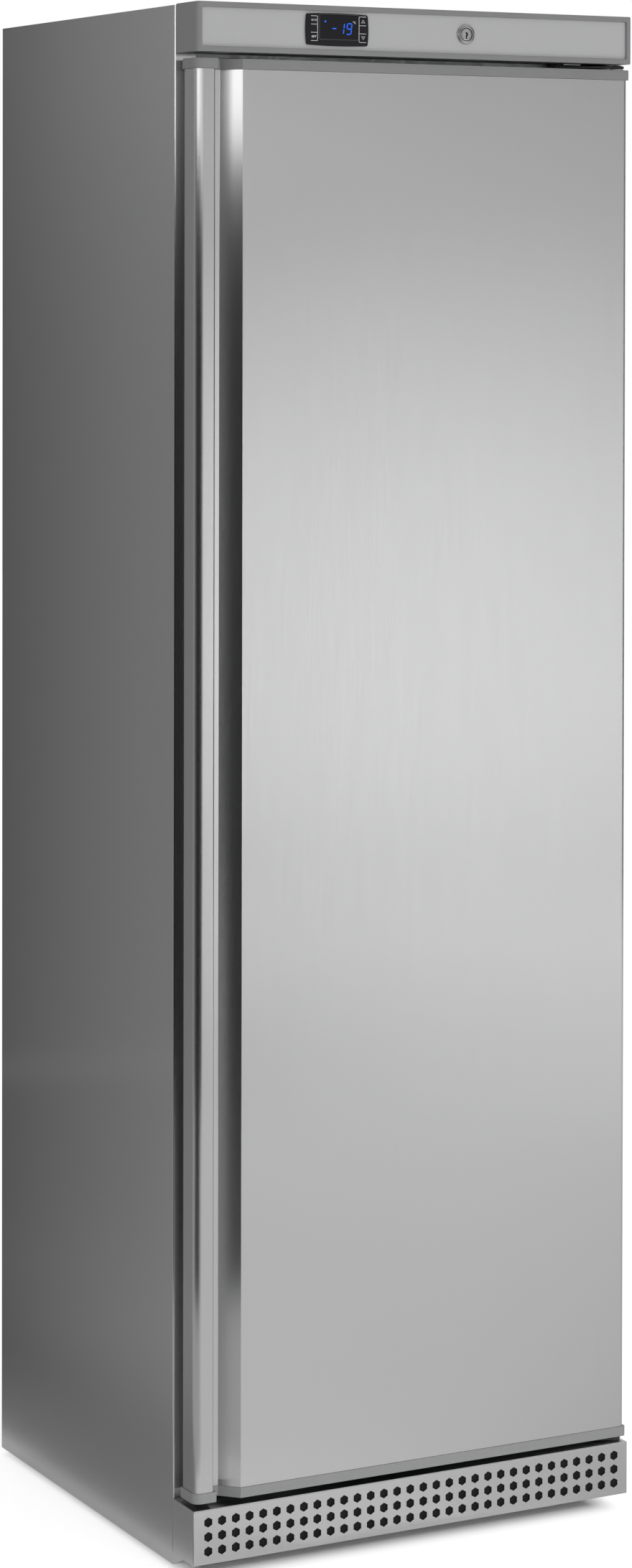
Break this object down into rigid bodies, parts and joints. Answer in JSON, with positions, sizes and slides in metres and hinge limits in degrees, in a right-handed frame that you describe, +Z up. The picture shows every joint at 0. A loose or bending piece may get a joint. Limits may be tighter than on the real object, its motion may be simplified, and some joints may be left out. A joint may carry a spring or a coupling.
{
  "type": "upright freezer",
  "caption": "Tall upright storage freezer with a hinged insulated door, control fascia with lock, cooled shelves, rear machine bay, front levelling feet and rear rollers.",
  "frame": {"origin": "on the floor, under the middle of the freezer's bounding box", "axes": "+Z up; the door faces -Y; the hinge side is +X"},
  "size_m": [0.6, 0.579, 1.86],
  "materials": {
    "steel": "fine vertical brushed grain",
    "galvanised": "galvanised sheet",
    "grey_plastic": "moulded, fine texture",
    "pale_insert": "satin",
    "white_plastic": "vacuum formed",
    "foam": "rigid foam",
    "black_plastic": "moulded",
    "display_lens": "smoked",
    "rubber": "matte",
    "seal": "soft grey vinyl",
    "chrome": "polished",
    "enamel": "white powder coat",
    "black_paint": "satin black",
    "aluminium": "mill finish",
    "copper": "bare copper tube",
    "nylon": "moulded"
  },
  "bodies": {
    "cabinet": {"side_panel_left": "steel", "side_panel_right": "steel", "top_panel": "galvanised", "back_panel": "galvanised", "machine_bay_panel": "galvanised", "cabinet_foam": "foam", "inner_liner": "white_plastic", "base_plate": "black_paint", "kick_grille": "steel", "roller_fork_left": "galvanised", "roller_fork_right": "galvanised", "roller_axle_left": "chrome", "roller_axle_right": "chrome", "fascia_frame": "grey_plastic", "fascia_insert": "pale_insert", "controller_housing": "black_plastic", "controller_window": "display_lens", "lock_barrel": "chrome", "hinge_bracket_top": "galvanised", "hinge_bracket_bottom": "galvanised", "hinge_pin_top": "chrome", "hinge_pin_bottom": "chrome", "compressor": "black_paint", "compressor_terminal_cover": "black_plastic", "condenser": "aluminium", "fan_shroud": "galvanised", "fan_motor": "black_paint", "discharge_pipe": "copper", "suction_pipe": "copper", "filter_drier": "copper", "mains_cable_gland": "black_plastic", "compressor_grommet_1": "rubber", "compressor_grommet_2": "rubber", "compressor_grommet_3": "rubber", "compressor_grommet_4": "rubber", "evaporator_shelf_1": "enamel", "evaporator_shelf_2": "enamel", "evaporator_shelf_3": "enamel", "evaporator_shelf_4": "enamel", "evaporator_shelf_5": "enamel"},
    "door": {"door_skin": "steel", "door_foam": "foam", "door_liner": "white_plastic", "door_gasket": "seal", "door_cap_top": "grey_plastic", "door_cap_bottom": "grey_plastic", "handle_profile": "steel", "hinge_bush_top": "nylon", "hinge_bush_bottom": "nylon"},
    "lock": {"lock_plug": "chrome", "lock_cam": "galvanised"},
    "key_defrost": {"button_defrost": "black_plastic"},
    "key_set": {"button_set": "black_plastic"},
    "key_up": {"button_up": "black_plastic"},
    "key_down": {"button_down": "black_plastic"},
    "fan": {"fan_blade": "aluminium"},
    "foot_left": {"levelling_foot_left": "black_plastic"},
    "foot_right": {"levelling_foot_right": "black_plastic"},
    "wheel_left": {"roller_left": "nylon"},
    "wheel_right": {"roller_right": "nylon"}
  },
  "joints": [
    {"name": "door_hinge", "type": "hinge", "parent": "cabinet", "child": "door", "pos_m": [0.288, -0.2725, 0.95], "axis": [0, 0, 1], "range_deg": [0, 120]},
    {"name": "lock_turn", "type": "hinge", "parent": "cabinet", "child": "lock", "pos_m": [0.0639, -0.27, 1.8315], "axis": [0, 1, 0], "range_deg": [0, 90]},
    {"name": "press_defrost", "type": "slide", "parent": "cabinet", "child": "key_defrost", "axis": [0, 1, 0], "range_m": [0, 0.0008], "stiffness_N_per_m": 800},
    {"name": "press_set", "type": "slide", "parent": "cabinet", "child": "key_set", "axis": [0, 1, 0], "range_m": [0, 0.0008], "stiffness_N_per_m": 800},
    {"name": "press_up", "type": "slide", "parent": "cabinet", "child": "key_up", "axis": [0, 1, 0], "range_m": [0, 0.0008], "stiffness_N_per_m": 800},
    {"name": "press_down", "type": "slide", "parent": "cabinet", "child": "key_down", "axis": [0, 1, 0], "range_m": [0, 0.0008], "stiffness_N_per_m": 800},
    {"name": "fan_spin", "type": "hinge", "parent": "cabinet", "child": "fan", "pos_m": [0.14315, 0.167, 0.1183], "axis": [0, 1, 0], "continuous": true},
    {"name": "foot_left_height", "type": "slide", "parent": "cabinet", "child": "foot_left", "axis": [0, 0, -1], "range_m": [0, 0.015]},
    {"name": "foot_right_height", "type": "slide", "parent": "cabinet", "child": "foot_right", "axis": [0, 0, -1], "range_m": [0, 0.015]},
    {"name": "wheel_left_spin", "type": "hinge", "parent": "cabinet", "child": "wheel_left", "pos_m": [-0.252, 0.2375, 0.02], "axis": [1, 0, 0], "continuous": true},
    {"name": "wheel_right_spin", "type": "hinge", "parent": "cabinet", "child": "wheel_right", "pos_m": [0.252, 0.2375, 0.02], "axis": [1, 0, 0], "continuous": true}
  ]
}
